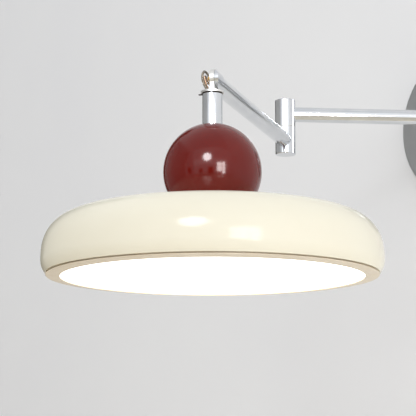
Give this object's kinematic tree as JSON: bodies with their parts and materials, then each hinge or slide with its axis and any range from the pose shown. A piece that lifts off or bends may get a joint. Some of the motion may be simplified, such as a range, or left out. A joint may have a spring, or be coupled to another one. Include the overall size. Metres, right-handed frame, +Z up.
{
  "type": "swing-arm wall lamp",
  "caption": "Wall lamp with a round wall plate, two folding arms, a tilting knuckle, a ball finial and a wide round dome shade with a flat opal light panel underneath.",
  "frame": {"origin": "centre of the wall bracket's back face, on the wall plane", "axes": "+Y into the wall, square to it; the lamp stands out along -Y; +Z up; +X to the right along the wall seen from the room"},
  "size_m": [0.3144, 0.5429, 0.2874],
  "materials": {
    "chrome_plate": "polished chrome plate",
    "zinc_steel": "zinc-plated sheet steel",
    "nickel_steel": "nickel-plated steel",
    "brass": "plain turned brass",
    "clear_lead": "clear insulation over copper strands",
    "white_plastic": "moulded white plastic",
    "nylon": "natural nylon",
    "black_rubber": "soft black rubber",
    "dark_steel": "blackened steel",
    "cream_enamel": "glossy cream enamel on spun metal",
    "burgundy_enamel": "glossy burgundy enamel",
    "beige_ring": "satin pale beige enamel",
    "opal_diffuser": "opal acrylic",
    "aluminium_plate": "rolled aluminium sheet",
    "led_yellow": "yellow phosphor"
  },
  "bodies": {
    "base": {"wall_bracket": "zinc_steel", "wall_plate": "chrome_plate", "plate_screws": "nickel_steel", "terminal_block": "white_plastic", "block_screw": "nickel_steel", "terminal_screws": "brass", "cord_grommet": "black_rubber", "wall_fork": "chrome_plate", "fork_washer": "zinc_steel", "fork_nut": "nickel_steel", "wall_pivot_screws": "nickel_steel", "wall_pivot_washers": "nylon", "wall_leads": "clear_lead"},
    "arm1": {"arm1_rear_barrel": "chrome_plate", "arm1_tube": "chrome_plate", "elbow_upper_barrel": "chrome_plate", "elbow_top_cap": "chrome_plate", "arm1_leads": "clear_lead"},
    "arm2": {"elbow_friction_washer": "nylon", "elbow_lower_barrel": "chrome_plate", "elbow_bottom_cap": "chrome_plate", "elbow_hollow_pin": "nickel_steel", "elbow_upper_nut": "nickel_steel", "elbow_lower_nut": "nickel_steel", "elbow_spring_washer": "zinc_steel", "arm2_tube": "chrome_plate", "knuckle_lug": "chrome_plate", "arm2_leads": "clear_lead", "knuckle_screw": "brass", "knuckle_washer": "brass", "knuckle_leads": "clear_lead"},
    "yoke": {"knuckle_yoke": "chrome_plate", "tab_washer": "dark_steel", "stem_nut": "nickel_steel"},
    "head": {"neck_tube": "chrome_plate", "neck_collar": "nickel_steel", "neck_foot": "nickel_steel", "center_rod": "nickel_steel", "ball_shell": "burgundy_enamel", "shade_shell": "cream_enamel", "cross_bar": "zinc_steel", "rod_nut": "nickel_steel", "carrier_plate": "aluminium_plate", "carrier_screws": "nickel_steel", "led_board": "aluminium_plate", "led_chips": "led_yellow", "led_driver": "white_plastic", "driver_screws": "nickel_steel", "head_leads": "clear_lead", "board_leads": "clear_lead", "diffuser": "opal_diffuser", "bezel_ring": "beige_ring", "diffuser_clips": "zinc_steel"}
  },
  "joints": [
    {"name": "wall_swivel", "type": "hinge", "parent": "base", "child": "arm1", "pos_m": [0, -0.05, 0], "axis": [0, 0, 1], "range_deg": [-60.5, 119.5]},
    {"name": "elbow_swivel", "type": "hinge", "parent": "arm1", "child": "arm2", "pos_m": [-0.07879, -0.18926, -0.0144], "axis": [0, 0, 1], "range_deg": [-206.5, 73.5]},
    {"name": "knuckle_tilt", "type": "hinge", "parent": "arm2", "child": "yoke", "pos_m": [0.07468, -0.39291, -0.0268], "axis": [-0.7986, -0.6018, 0], "range_deg": [-8, 85], "deforming": ["knuckle_leads"]},
    {"name": "head_swivel", "type": "hinge", "parent": "yoke", "child": "head", "pos_m": [0.07468, -0.39291, -0.0268], "axis": [0, 0, 1], "range_deg": [-165, 165]}
  ]
}
